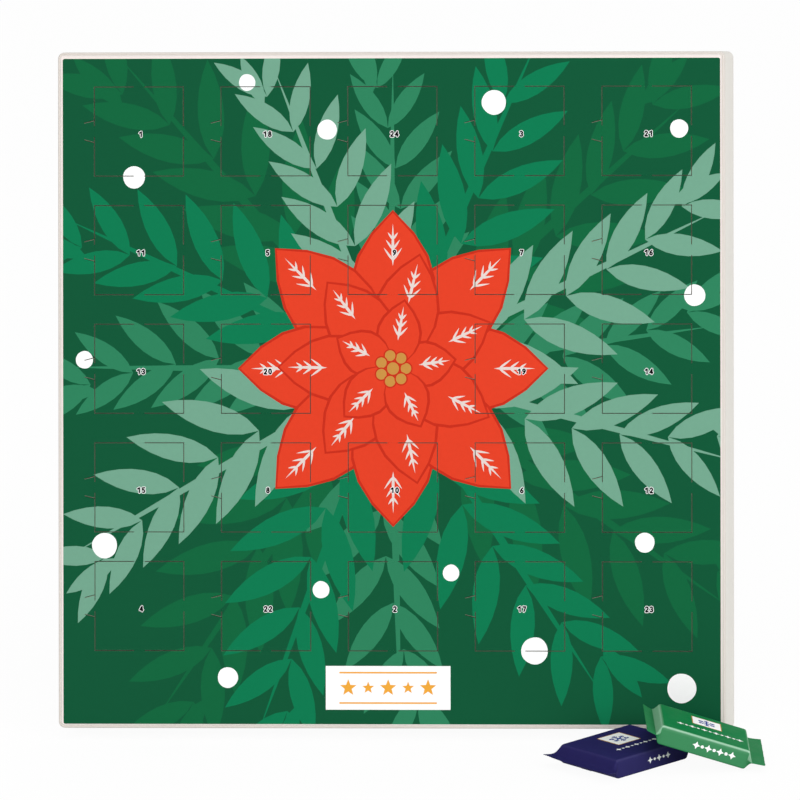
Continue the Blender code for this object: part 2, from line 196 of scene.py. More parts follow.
# inks, as the picture shows them
INKS = {
    "dark": (21, 86, 56),
    "sage": (114, 164, 140),
    "mid": (48, 129, 92),
    "emerald": (9, 121, 80),
    "deep": (22, 101, 62),
    "red": (224, 66, 41),
    "crimson": (196, 48, 31),
    "gold": (198, 143, 70),
    "blush": (226, 211, 205),
    "white": (255, 255, 255),
    "edge": (240, 229, 224),
    "blue": (44, 62, 148),
    "amber": (240, 169, 62),
    "black": (14, 14, 14),
}


def to_linear(value):
    share = value / 255
    return share / 12.92 if share <= 0.04045 else ((share + 0.055) / 1.055) ** 2.4


def colour_of(rgb, haze=0.0):
    """Linear colour, less the haze of light that the surface's gloss adds to it."""
    return (*[max(to_linear(value) - haze, 0) for value in rgb], 1)


# the plane of the front: x right, y up the front, z out of it, from the case's foot


def joint(name):
    return next(j for j in frame["joints"] if j["name"] == name)


def points_of(node):
    return [v.co for v in frame["nodes"][node].data.vertices]


def front_plane():
    """The plane as a matrix, and the case's width and height in it."""
    hinge = joint("door_01_hinge")
    up = Vector(hinge["axis"]).normalized()
    right = Vector((1, 0, 0))
    out = right.cross(up)
    points = points_of("case_tray")
    across = [p.dot(right) for p in points]
    along = [p.dot(up) for p in points]
    origin = right * (min(across) + max(across)) / 2 + up * min(along)
    origin += out * Vector(hinge["pos_m"]).dot(out)
    plane = Matrix((right, up, out)).transposed().to_4x4()
    plane.translation = origin
    return plane, max(across) - min(across), max(along) - min(along)


PLANE, CASE_WIDTH, CASE_HEIGHT = front_plane()


def in_plane(point):
    return PLANE.inverted() @ Vector(point)


def node_extent(node):
    """Lowest and highest corner of a node in the plane of the front."""
    points = [in_plane(p) for p in points_of(node)]
    return [Vector([pick(p[axis] for p in points) for axis in range(3)]) for pick in (min, max)]


DOOR_NODES = sorted(name for name in frame["nodes"] if name.startswith("door_"))
DOORS = {name: node_extent(name) for name in DOOR_NODES}


# shader helpers


def add_node(tree, kind, output, inputs=None, **properties):
    """The named output of a new node, whose inputs are values or other nodes' outputs."""
    node = tree.nodes.new(f"ShaderNode{kind}")
    for key, value in properties.items():
        setattr(node, key, value)
    for key, value in (inputs or {}).items():
        if isinstance(value, bpy.types.NodeSocket):
            tree.links.new(value, node.inputs[key])
        else:
            node.inputs[key].default_value = value
    return node.outputs[output]


class Shader:
    """A node-based material around one Principled BSDF."""

    def __init__(self, name, rgb, roughness, specular=0.5, haze=0.0):
        self.material = bpy.data.materials.new(name)
        self.material.use_nodes = True
        self.tree = self.material.node_tree
        self.bsdf = self.tree.nodes["Principled BSDF"]
        self.base = colour_of(rgb, haze)
        self.bsdf.inputs["Base Color"].default_value = self.base
        self.bsdf.inputs["Roughness"].default_value = roughness
        self.bsdf.inputs["Specular IOR Level"].default_value = specular
        self.position = self.add("TexCoord", "Object")
        self.height = None

    def add(self, kind, output, inputs=None, **properties):
        return add_node(self.tree, kind, output, inputs, **properties)

    def feed(self, key, source):
        self.tree.links.new(source, self.bsdf.inputs[key])

    def noise(self, size, detail=3, stretch=(1, 1, 1), distortion=0.0):
        """Noise whose blotches are about size mm across."""
        at = self.add("Mapping", "Vector", {"Scale": stretch, "Vector": self.position})
        inputs = {"Scale": 1 / (size * MM), "Detail": detail, "Distortion": distortion, "Vector": at}
        return self.add("TexNoise", "Fac", inputs)

    def ramp(self, source, low, high, start, stop):
        inputs = {"Value": source, "From Min": low, "From Max": high, "To Min": start, "To Max": stop}
        return self.add("MapRange", "Result", inputs)

    def mix(self, factor, a, b):
        """Gives the surface a mix of a and b, each a colour or another node's output."""
        mixed = self.add("Mix", "Result", {"Factor": factor, "A": a, "B": b}, data_type="RGBA")
        self.feed("Base Color", mixed)
        return mixed

    def colour(self, source, darker, lighter, base=None):
        """The base colour, or another one, swinging between two brightness factors with source."""
        rgb = (base or self.base)[:3]
        return self.mix(source, *([min(c * factor, 1) for c in rgb] + [1] for factor in (darker, lighter)))

    def roughness(self, source, low, high):
        self.feed("Roughness", self.ramp(source, 0.3, 0.7, low, high))

    def bump(self, source, depth):
        """A bump of the given depth in mm, added to those before it."""
        before = {} if self.height is None else {"Normal": self.height}
        self.height = self.add("Bump", "Normal", {"Distance": depth * MM, "Height": source, **before})
        self.feed("Normal", self.height)


def printed(name, rgb):
    """Offset print on coated card: a faint mottle, fine paper tooth and a satin varnish."""
    shader = Shader(name, rgb, 0.5, specular=0.08, haze=0.006)
    mottle = shader.noise(2.2, detail=6)
    shader.colour(mottle, 0.985 if min(rgb) == 255 else 0.965, 1.03)
    shader.roughness(shader.noise(0.8, detail=4), 0.46, 0.58)
    shader.bump(shader.noise(0.35, detail=5), 0.006)
    shader.bump(shader.noise(14, detail=2), 0.05)
    return shader.material


def board(name, rgb, roughness, tooth=0.02):
    """Solid board: fibres that lie mostly one way, flecks and a slightly uneven surface."""
    shader = Shader(name, rgb, roughness, specular=0.3)
    fibres = shader.noise(0.5, detail=6, stretch=(0.25, 1, 1), distortion=0.4)
    shader.colour(fibres, 0.95, 1.035)
    shader.roughness(shader.noise(3), roughness - 0.06, roughness + 0.05)
    shader.bump(fibres, tooth)
    shader.bump(shader.noise(9, detail=2), 0.12)
    return shader.material


def card(name, core, back):
    """Folding boxboard: a dark grey at its cuts, the board's grey core darkened further as painted shade of
    the cut lines, and a pale, fibrous, unprinted back.
    """
    shader = Shader(name, core, 0.8, specular=0.2)
    fibres = shader.noise(0.5, detail=6, stretch=(0.3, 1, 1), distortion=0.4)
    edge = shader.colour(fibres, 0.94, 1.05)
    normal = shader.add("TexCoord", "Normal")
    backward = -(PLANE.to_3x3() @ Vector((0, 0, 1)))
    facing_back = shader.add("VectorMath", "Value", {0: normal, 1: backward}, operation="DOT_PRODUCT")
    pale = shader.colour(shader.ramp(fibres, 0.25, 0.6, 0, 1), 0.93, 1.02, colour_of(back))
    shader.mix(shader.ramp(facing_back, 0.6, 0.8, 0, 1), edge, pale)
    shader.roughness(shader.noise(3), 0.72, 0.85)
    shader.bump(fibres, 0.012)
    shader.bump(shader.noise(11, detail=2), 0.1)
    return shader.material


def moulded_fibre(name, rgb):
    """Moulded pulp: a felted, pitted surface with darker and lighter clumps."""
    shader = Shader(name, rgb, 0.92, specular=0.15)
    clumps = shader.noise(1.6, detail=8, distortion=0.8)
    shader.colour(clumps, 0.84, 1.1)
    shader.bump(clumps, 0.18)
    shader.bump(shader.noise(0.4, detail=4), 0.05)
    return shader.material


def film(name, rgb, pale, haze):
    """Printed wrapping film: satin, with soft creases, and a painted highlight: its pale colour, mixed in by
    the crease attribute, lightens the ridges most.
    """
    shader = Shader(name, rgb, 0.6, specular=0.03, haze=haze)
    creases = shader.noise(9, distortion=0.6)
    swing = shader.colour(shader.noise(6), 0.95, 1.05)
    # painted highlight: the crease attribute's share mixes the pale colour into the film
    painted_sheen_share = shader.add("Attribute", "Fac", attribute_name="crease")
    shader.mix(painted_sheen_share, swing, colour_of(pale))
    shader.roughness(creases, 0.54, 0.66)
    shader.bump(creases, 0.1)
    shader.bump(shader.noise(0.5), 0.006)
    return shader.material


def chocolate(name, rgb):
    shader = Shader(name, rgb, 0.42, specular=0.5)
    bloom = shader.noise(4, detail=5)
    shader.colour(bloom, 0.9, 1.12)
    shader.roughness(bloom, 0.36, 0.5)
    shader.bump(shader.noise(0.7, detail=4), 0.02)
    return shader.material


LOOKS = (
    # boards: colour, roughness and depth of the tooth in mm; films: colour, colour of the painted highlight
    # and haze
    ("case_board", board, (221, 218, 211), 0.6, 0.008),
    ("rim_board", board, (217, 210, 203), 0.6, 0.008),
    # the groove's lighter, warmer colour is painted warm bounce light in its shade
    ("rim_groove", board, (222, 212, 203), 0.65, 0.008),
    ("rim_inner", board, (222, 218, 214), 0.6, 0.006),
    ("back_board", board, (214, 207, 196), 0.78, 0.03),
    ("fold_tape", board, (233, 227, 215), 0.7, 0.05),
    # dark cut edges: the board's grey core, darkened further as painted shade of the cut lines
    ("card_core", card, (122, 122, 107), (232, 228, 220)),
    ("easel_board", board, (206, 200, 190), 0.8),
    ("fibre", moulded_fibre, (205, 196, 178)),
    # each film's second colour is its painted highlight
    ("navy_film", film, (41, 38, 90), (84, 82, 126), 0.002),
    ("green_film", film, (20, 122, 67), (172, 214, 186), 0.003),
    ("red_film", film, (196, 38, 40), (236, 150, 146), 0.006),
    ("gold_film", film, (222, 162, 58), (245, 215, 160), 0.006),
    ("brown_film", film, (104, 62, 40), (168, 130, 110), 0.006),
    ("milk_chocolate", chocolate, (104, 62, 38)),
)
MATERIALS = {f"ink_{name}": printed(f"ink_{name}", rgb) for name, rgb in INKS.items()}
MATERIALS |= {name: make(name, *values) for name, make, *values in LOOKS}


# making and placing pieces


def loft(bm, rings, capped=True):
    """Joins rings of vertices, capped at both ends or else closed. Returns the bands of faces."""
    bands = []
    for first, second in zip(rings, rings[1:] if capped else rings[1:] + rings[:1]):
        count = len(first)
        pairs = [(i, (i + 1) % count) for i in range(count)]
        bands.append([bm.faces.new((first[i], first[j], second[j], second[i])) for i, j in pairs])
    if capped:
        bm.faces.new(list(reversed(rings[0])))
        bm.faces.new(rings[-1])
    bmesh.ops.recalc_face_normals(bm, faces=bm.faces)
    return bands


def mesh_of(bm, name, looks=(), soft=False):
    """The mesh of bm, with a material for each look. Soft says that only edges over SHARP_ANGLE are sharp."""
    mesh = bpy.data.meshes.new(name)
    bm.to_mesh(mesh)
    bm.free()
    if soft:
        mesh.set_sharp_from_angle(angle=SHARP_ANGLE)
    for look in looks:
        mesh.materials.append(MATERIALS[look])
    return mesh


def add_object(name, data):
    made = bpy.data.objects.new(name, data)
    bpy.context.scene.collection.objects.link(made)
    return made


def place(mesh, body, matrix=PLANE, name=None):
    made = add_object(name or mesh.name, mesh)
    made.matrix_world = matrix
    bpy.context.view_layer.update()
    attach(made, body)
    return made


# outlines


def polar(centre, radius, angle):
    return (centre[0] + radius * cos(angle), centre[1] + radius * sin(angle))


def rounded_rectangle(low, high, radius, steps=6):
    x0, y0, x1, y1 = low[0] + radius, low[1] + radius, high[0] - radius, high[1] - radius
    points = []
    for start, middle in ((-90, (x1, y0)), (0, (x1, y1)), (90, (x0, y1)), (180, (x0, y0))):
        points += [polar(middle, radius, radians(start + 90 * i / steps)) for i in range(steps + 1)]
    return points


def rectangle_with_nicks(low, high, growth, reach, crease):
    """A door's rectangle grown by growth, with a nick in the middle of each side.

    Each nick stands out by reach from the grown side, but the right one ends at crease from the door.
    """
    x0, y0, x1, y1 = low[0] - growth, low[1] - growth, high[0] + growth, high[1] + growth
    mx, my = (low[0] + high[0]) / 2, (low[1] + high[1]) / 2
    n = NICK_HALF
    outer = growth + reach
    left, right, foot, head = low[0] - outer, high[0] + crease, low[1] - outer, high[1] + outer
    return [
        (x1, y0), (x1, my - n), (right, my - n), (right, my + n), (x1, my + n),
        (x1, y1), (mx + n, y1), (mx + n, head), (mx - n, head), (mx - n, y1),
        (x0, y1), (x0, my + n), (left, my + n), (left, my - n), (x0, my - n),
        (x0, y0), (mx - n, y0), (mx - n, foot), (mx + n, foot), (mx + n, y0),
    ]


def slit_outline(start, end):
    """A thin slit from start to end, slightly narrower at its closed end."""
    along = Vector((end[0] - start[0], end[1] - start[1])).normalized()
    side = Vector((-along.y, along.x)) * SLIT_HALF
    corners = ((start, 1), (start, -1), (end, -SLIT_END_SHARE), (end, SLIT_END_SHARE))
    return [(at[0] + side.x * share, at[1] + side.y * share) for at, share in corners]


def circle(centre, radius, steps, wobble=0.0, phase=0.0):
    """A circle whose radius may wobble, so that dots aren't all alike."""
    points = []
    for step in range(steps):
        angle = 2 * pi * step / steps
        swell = 1 + wobble * sin(3 * angle + phase) + wobble / 2 * sin(5 * angle + 2 * phase)
        points.append(polar(centre, radius * swell, angle))
    return points


def leaf(base, angle, length, width, belly=0.45, steps=7):
    """A pointed leaf from base along angle, widest at belly of its length."""
    along = Vector((cos(angle), sin(angle)))
    side = Vector((-along.y, along.x))
    half = []
    for step in range(1, steps):
        t = step / steps
        swell = (t / belly) ** 0.8 if t < belly else ((1 - t) / (1 - belly)) ** 0.9
        half.append((t, sin(min(swell, 1) * pi / 2)))
    ring = [(0, 0), *half, (1, 0), *[(t, -s) for t, s in reversed(half)]]
    return [tuple(Vector(base) + along * length * t + side * width / 2 * s) for t, s in ring]


def star(centre, radius, arms, waist):
    """A star of pointed arms, one of them up, whose inner corners lie at waist times the radius."""
    reaches = (radius, radius * waist)
    return [polar(centre, reaches[i % 2], radians(90 + 180 * i / arms)) for i in range(2 * arms)]


# the picture on the front: a traditional poinsettia on leafy sprigs, with snow dots

# shares are of the case's width and height; directions are in degrees
FLOWER_SHARE = (0.5034, 0.532)
PETAL_RINGS = (
    # petals, length, width, turn, belly, and where along the petal its vein starts
    (8, 84 * MM, 41 * MM, 0, 0.52, 0.66),
    (7, 58 * MM, 31 * MM, 25, 0.5, 0.58),
    (5, 34 * MM, 21 * MM, 8, 0.5, 0.42),
)
PETAL_EDGE = 1.3 * MM
SHORTER_PETAL = 0.93
VEIN_END = 0.93
VEIN_WIDTH = 1.5 * MM
VEIN_BELLY = 0.3
TWIGS_ALONG_VEIN = (0.12, 0.38, 0.62)
TWIG_ANGLE = radians(36)
TWIG_WIDTH = 1.1 * MM
BEAD_EDGE = 0.7 * MM
BEAD_RINGS = (
    # radius of the ring, beads, and radius of a bead
    (6.6 * MM, 7, 2.7 * MM),
    (0, 1, 3.1 * MM),
)
SPRIG_SHARE = (0.50, 0.53)
SPRIG_PAIRS = 7
SPRIG_BEND = radians(16)
SPRIGS = (
    # direction, length share, ink
    (38, 0.60, "deep"), (128, 0.62, "deep"), (232, 0.62, "deep"), (322, 0.62, "deep"),
    (86, 0.45, "mid"), (176, 0.49, "mid"), (268, 0.52, "mid"), (4, 0.49, "mid"),
    (62, 0.54, "emerald"), (152, 0.54, "emerald"), (246, 0.57, "emerald"), (300, 0.57, "emerald"),
    (22, 0.54, "sage"), (108, 0.48, "sage"), (206, 0.55, "sage"), (342, 0.54, "sage"),
)
DOTS = (
    # x share, y share, radius in mm
    (0.115, 0.815, 5.6), (0.285, 0.955, 4.2), (0.405, 0.885, 5.0), (0.655, 0.925, 6.2), (0.932, 0.886, 4.6),
    (0.955, 0.640, 5.4), (0.040, 0.545, 4.4), (0.070, 0.270, 6.4), (0.255, 0.075, 5.2), (0.395, 0.205, 4.3),
    (0.715, 0.115, 6.8), (0.880, 0.275, 5.0), (0.935, 0.060, 7.4), (0.590, 0.230, 4.2),
)
LABEL_SHARE = ((0.402, 0.0277), (0.589, 0.0924))
PANEL_STARS = 5
PANEL_STAR_PITCH = 10.2 * MM
PANEL_STAR_RADIUS = 4.4 * MM
PANEL_SMALL_STAR = 0.72
PANEL_RULE_OFFSET = 7.6 * MM
PANEL_RULE_LENGTH = 50 * MM
PANEL_RULE_WIDTH = 0.8 * MM


def at_share(share):
    return ((share[0] - 0.5) * CASE_WIDTH, share[1] * CASE_HEIGHT)


def sprig(angle, length):
    """A curved stem with pairs of leaves that shorten towards its tip, and a leaf at the tip."""
    base = at_share(SPRIG_SHARE)
    outlines = []
    for i in range(2, SPRIG_PAIRS + 1):
        t = i / (SPRIG_PAIRS + 0.6)
        heading = angle + SPRIG_BEND * (t - 0.5)
        foot = polar(base, length * t, heading)
        size = length * (0.335 - 0.15 * t)
        for side in (-1, 1):
            outlines.append(leaf(foot, heading + side * radians(46 - 14 * t), size, size * 0.27))
    heading = angle + SPRIG_BEND * 0.5
    outlines.append(leaf(polar(base, length * 0.9, heading), heading, length * 0.17, length * 0.048))
    outlines.append(leaf(base, angle + SPRIG_BEND * 0.22, length, length * 0.022, belly=0.3, steps=9))
    return outlines


def flower(centre):
    """Three rings of veined petals, each on a deeper edge of its own, with gold beads in the middle."""
    shapes = []
    for count, length, width, turn, belly, bare in PETAL_RINGS:
        for i in range(count):
            angle = radians(turn + 360 * i / count)
            reach = length * (1.0 if i % 2 else SHORTER_PETAL)
            shapes.append((leaf(centre, angle, reach + PETAL_EDGE, width + 2 * PETAL_EDGE, belly), "crimson"))
            shapes.append((leaf(centre, angle, reach, width, belly), "red"))
            along = Vector((cos(angle), sin(angle)))
            shown = reach * (VEIN_END - bare)
            vein = Vector(centre) + along * reach * bare
            shapes.append((leaf(vein, angle, shown, VEIN_WIDTH, VEIN_BELLY), "blush"))
            for share in TWIGS_ALONG_VEIN:
                for side in (-1, 1):
                    foot = Vector(centre) + along * (reach * bare + shown * share)
                    heading, twig = angle + side * TWIG_ANGLE, shown * (0.42 - 0.34 * share)
                    shapes.append((leaf(foot, heading, twig, TWIG_WIDTH, VEIN_BELLY), "blush"))
    for ring_radius, count, size in BEAD_RINGS:
        for i in range(count):
            at = polar(centre, ring_radius, 2 * pi * i / count)
            shapes.append((circle(at, size + BEAD_EDGE, 24), "crimson"))
            shapes.append((circle(at, size, 24), "gold"))
    return shapes


def picture():
    """All printed shapes from the lowest to the topmost, each with its ink."""
    shapes = []
    for degrees, length, ink in SPRIGS:
        shapes += [(outline, ink) for outline in sprig(radians(degrees), length * CASE_WIDTH)]
    for i, (x, y, radius) in enumerate(DOTS):
        shapes.append((circle(at_share((x, y)), radius * MM, 40, 0.012, i * 1.7), "white"))
    shapes += flower(at_share(FLOWER_SHARE))
    low, high = (at_share(share) for share in LABEL_SHARE)
    shapes.append(([(low[0], low[1]), (high[0], low[1]), (high[0], high[1]), (low[0], high[1])], "white"))
    middle = (Vector(low) + Vector(high)) / 2
    for i in range(PANEL_STARS):
        at = middle + Vector(((i - (PANEL_STARS - 1) / 2) * PANEL_STAR_PITCH, 0))
        radius = PANEL_STAR_RADIUS * (1 if i % 2 == 0 else PANEL_SMALL_STAR)
        shapes.append((star(at, radius, 5, 0.42), "amber"))
    for side in (-1, 1):
        rule = middle + Vector((0, side * PANEL_RULE_OFFSET))
        half = Vector((PANEL_RULE_LENGTH, PANEL_RULE_WIDTH)) / 2
        shapes.append((rounded_rectangle(rule - half, rule + half, PANEL_RULE_WIDTH / 2.1, 2), "amber"))
    return shapes


def inside(points, outline):
    """Which of the points lie inside the outline."""
    ring = np.array(outline)
    close = ((points > ring.min(axis=0)) & (points < ring.max(axis=0))).all(axis=1)
    x, y = points[close].T
    crossings = np.zeros(len(x), bool)
    for (ax, ay), (bx, by) in zip(ring, np.roll(ring, -1, axis=0)):
        if ay != by:
            crossings ^= ((ay > y) != (by > y)) & (x < (bx - ax) * (y - ay) / (by - ay) + ax)
    found = np.zeros(len(points), bool)
    found[close] = crossings
    return found


def print_regions():
    """Outline of the sheet, of the printed area, and of each door and its cut."""
    low, high = Vector((-CASE_WIDTH / 2, 0)), Vector((CASE_WIDTH / 2, CASE_HEIGHT))
    inset = Vector((RIM_INSET, RIM_INSET))
    sheet = rounded_rectangle(low + inset, high - inset, PRINT_CORNER + PRINT_INSET_LOW.y - RIM_INSET)
    printed_area = rounded_rectangle(low + PRINT_INSET_LOW, high - PRINT_INSET_HIGH, PRINT_CORNER)
    doors, holes, slits = {}, {}, []
    gap = cut_gap()
    nick = CUT_REVEAL + gap / 2 - NICK_GAP
    crease = gap + CREASE_OVERLAP
    for name, (door_low, door_high) in DOORS.items():
        doors[name] = rectangle_with_nicks(door_low, door_high, -CUT_REVEAL, nick, crease)
        holes[name] = rectangle_with_nicks(door_low, door_high, gap + CUT_REVEAL, -nick, crease + NICK_GAP)
        left = door_low[0] - gap
        middle = (door_low[1] + door_high[1]) / 2
        for side in (-1, 1):
            start = (left, middle + side * TAB_MOUTH_HALF)
            end = (left - TAB_LENGTH, middle + side * TAB_ROOT_HALF)
            slits.append(slit_outline(start, end))
    return sheet, printed_area, doors, holes, slits


def cut_gap():
    """Width of the cut round a door, read from the card's opening at the right of door 21."""
    _, high = DOORS["door_21"]
    points = [in_plane(p) for p in points_of("front_card")]
    return min(p.x - high[0] for p in points if p.x > high[0] and abs(p.y - high[1]) < MM)


def cut_outlines(outlines):
    """Cuts the plane along every outline. Returns the points, the triangles and the triangles' middles."""
    coords, edges = [], []
    for outline in outlines:
        first, count = len(coords), len(outline)
        coords += [Vector(p) / MM for p in outline]
        edges += [(first + i, first + (i + 1) % count) for i in range(count)]
    cut = delaunay_2d_cdt(coords, edges, [], 0, MERGE / MM)
    points = np.array([tuple(v) for v in cut[0]]) * MM
    triangles = np.array([tuple(face) for face in cut[2]])
    corners = points[triangles]
    area = np.cross(corners[:, 1] - corners[:, 0], corners[:, 2] - corners[:, 0])
    triangles[area < 0] = triangles[area < 0][:, ::-1]
    triangles = triangles[np.abs(area) > SMALLEST_AREA]
    return points, triangles, points[triangles].mean(axis=1)


def skin_mesh(name, points, triangles, inks, kept, low=PRINT_LOW, high=PRINT_HIGH):
    """A closed sheet over the kept triangles, each in its ink."""
    triangles, inks = triangles[kept].tolist(), inks[kept].tolist()
    names = sorted(set(inks))
    bm = bmesh.new()
    used = sorted({i for triangle in triangles for i in triangle})
    front, back = ({i: bm.verts.new((*points[i], height)) for i in used} for height in (high, low))
    edges = {}
    for triangle, ink in zip(triangles, inks):
        face = bm.faces.new([front[i] for i in triangle])
        under = bm.faces.new([back[i] for i in reversed(triangle)])
        face.material_index = under.material_index = names.index(ink)
        for i in range(3):
            edges[(triangle[i], triangle[(i + 1) % 3])] = face.material_index
    for (a, b), index in edges.items():
        if (b, a) not in edges:
            side = bm.faces.new((front[b], front[a], back[a], back[b]))
            side.material_index = index
    return mesh_of(bm, name, [f"ink_{ink}" for ink in names])


def raised_sheet(name, shapes, low, high):
    """A closed flat sheet of stacked outlines, each with its ink."""
    points, triangles, middles = cut_outlines([outline for outline, _ in shapes])
    inks = np.full(len(triangles), "", dtype="U12")
    for outline, ink in shapes:
        inks[inside(middles, outline)] = ink
    return skin_mesh(name, points, triangles, inks, inks != "", low, high)


def arrange_print():
    """Cuts the picture along every outline, then gives each door and the card their own sheet."""
    sheet, printed_area, doors, holes, slits = print_regions()
    shapes = picture()
    regions = [sheet, printed_area, *doors.values(), *holes.values(), *slits]
    points, triangles, middles = cut_outlines(regions + [outline for outline, _ in shapes])
    inks = np.full(len(triangles), "edge", dtype="U12")
    in_print = inside(middles, printed_area)
    inks[in_print] = "dark"
    for outline, ink in shapes:
        inks[inside(middles, outline) & in_print] = ink
    on_card = inside(middles, sheet)
    for name, outline in doors.items():
        on_card &= ~inside(middles, holes[name])
        mesh = skin_mesh(f"print_{name}", points, triangles, inks, inside(middles, outline))
        place(mesh, name)
    for outline in slits:
        on_card &= ~inside(middles, outline)
    place(skin_mesh("print_card", points, triangles, inks, on_card), "case")


# numbers


def arc_line(centre, radii, first, last, steps=9):
    """Points along an ellipse from one angle to another, in degrees."""
    angles = [radians(first + (last - first) * i / steps) for i in range(steps + 1)]
    return [(centre[0] + radii[0] * cos(a), centre[1] + radii[1] * sin(a)) for a in angles]


ROUND_FOOT = arc_line((0.28, 0.30), (0.19, 0.20), 0, 360, 14)
SIX = [ROUND_FOOT, [(0.42, 0.90), (0.22, 0.70), (0.10, 0.44), (0.09, 0.30)]]
DIGITS = {
    "0": [arc_line((0.28, 0.5), (0.19, 0.40), 0, 360, 16)],
    "1": [[(0.08, 0.70), (0.36, 0.90), (0.36, 0.10)]],
    "2": [arc_line((0.28, 0.68), (0.18, 0.22), 165, -35) + [(0.09, 0.10), (0.49, 0.10)]],
    "3": [arc_line((0.26, 0.70), (0.17, 0.20), 150, -90), arc_line((0.26, 0.30), (0.20, 0.20), 90, -150)],
    "4": [[(0.39, 0.10), (0.39, 0.90), (0.06, 0.32), (0.52, 0.32)]],
    "5": [[(0.46, 0.90), (0.14, 0.90), (0.12, 0.53)] + arc_line((0.27, 0.33), (0.19, 0.23), 120, -140)],
    "6": SIX,
    "7": [[(0.08, 0.90), (0.49, 0.90), (0.22, 0.10)]],
    "8": [arc_line((0.28, 0.71), (0.15, 0.19), 0, 360, 14), ROUND_FOOT],
    "9": [[(DIGIT_BOX_WIDTH - x, 1 - y) for x, y in stroke] for stroke in SIX],
}


def capsule(start, end, radius):
    """Outline of a round-ended bar."""
    steps = 4
    heading = atan2(end[1] - start[1], end[0] - start[0])
    points = []
    for centre, first in ((end, heading - pi / 2), (start, heading + pi / 2)):
        points += [polar(centre, radius, first + pi * i / steps) for i in range(steps + 1)]
    return points


def number_outlines(words, growth):
    """Bars that together draw the number, centred on the origin."""
    radius = DIGIT_STROKE / 2 * DIGIT_HEIGHT + growth
    bars = []
    for index, digit in enumerate(words):
        shift = (index - (len(words) - 1) / 2) * DIGIT_ADVANCE - DIGIT_BOX_WIDTH / 2
        for stroke in DIGITS[digit]:
            wide = DIGIT_HEIGHT * DIGIT_WIDENING
            points = [((x + shift) * wide, (y - 0.5) * DIGIT_HEIGHT) for x, y in stroke]
            bars += [capsule(a, b, radius) for a, b in zip(points, points[1:])]
    return bars


def add_numbers():
    for name, (low, high) in DOORS.items():
        words = str(int(name.split("_")[1]))
        outlines = [(bar, "white") for bar in number_outlines(words, HALO)]
        outlines += [(bar, "black") for bar in number_outlines(words, 0)]
        mesh = raised_sheet(f"number_{name}", outlines, PRINT_HIGH - NUMBER_ROOT, PRINT_HIGH + NUMBER_LIFT)
        middle = ((low[0] + high[0]) / 2 + DIGIT_SHIFT[0], (low[1] + high[1]) / 2 + DIGIT_SHIFT[1], 0)
        place(mesh, name, PLANE @ Matrix.Translation(middle))


# wrapped chocolates


class Wrap:
    """Sizes of one flow-wrapped chocolate, in its own frame: X along it, Z through it.

    The seed varies its puckers. Pale says how much painted highlight lightens its ridges, sides, shoulders
    and fins.
    """

    def __init__(self, node, turn, seed=0.0, pale=(1.0, 0.0, 0.0, 0.0)):
        local = np.array(points_of(node)) @ np.array(turn)
        low, high = local.min(axis=0), local.max(axis=0)
        middle = (low + high) / 2
        self.matrix = Matrix.Translation(turn @ Vector(middle)) @ turn.to_4x4()
        self.tip = (high[0] - low[0]) / 2
        self.up = (high[2] - low[2]) / 2
        from_middle = np.abs(local - middle)
        self.side = from_middle[from_middle[:, 2] > self.up / 2, 1].max()
        self.seed, self.pale = seed, pale

    def print_height(self):
        """Height of the film's top in the middle, where its print lies."""
        return self.up - TOP_INSET + CROWN


class End:
    """One end of a wrap, in mm: where its ridge, fin root and tip are, and half its width at root and tip.

    The fin bends up by rise at its tip, and by curl more at the tip's +Y corner.
    """

    def __init__(self, ridge, root, tip, root_half, tip_half, rise, curl=0.0):
        self.ridge, self.root, self.tip = ridge * MM, root * MM, tip * MM
        self.root_half, self.tip_half = root_half * MM, tip_half * MM
        self.rise, self.curl = rise * MM, curl * MM


def clamp(t):
    return min(max(t, 0.0), 1.0)


def smooth(t):
    t = clamp(t)
    return t * t * (3 - 2 * t)


def blend(a, b, t):
    return a + (b - a) * t


def wrap_stations(end):
    """Places along one end from just before its ridge to the fin's tip."""
    places = [end.ridge - RIDGE_RADIUS * share for share in reversed(NEAR_RIDGE)]
    places += [blend(end.ridge, end.root, i / SHOULDER_STEPS) for i in range(SHOULDER_STEPS + 1)]
    return places + [blend(end.root, end.tip, (i + 1) / FIN_STEPS) for i in range(FIN_STEPS)]


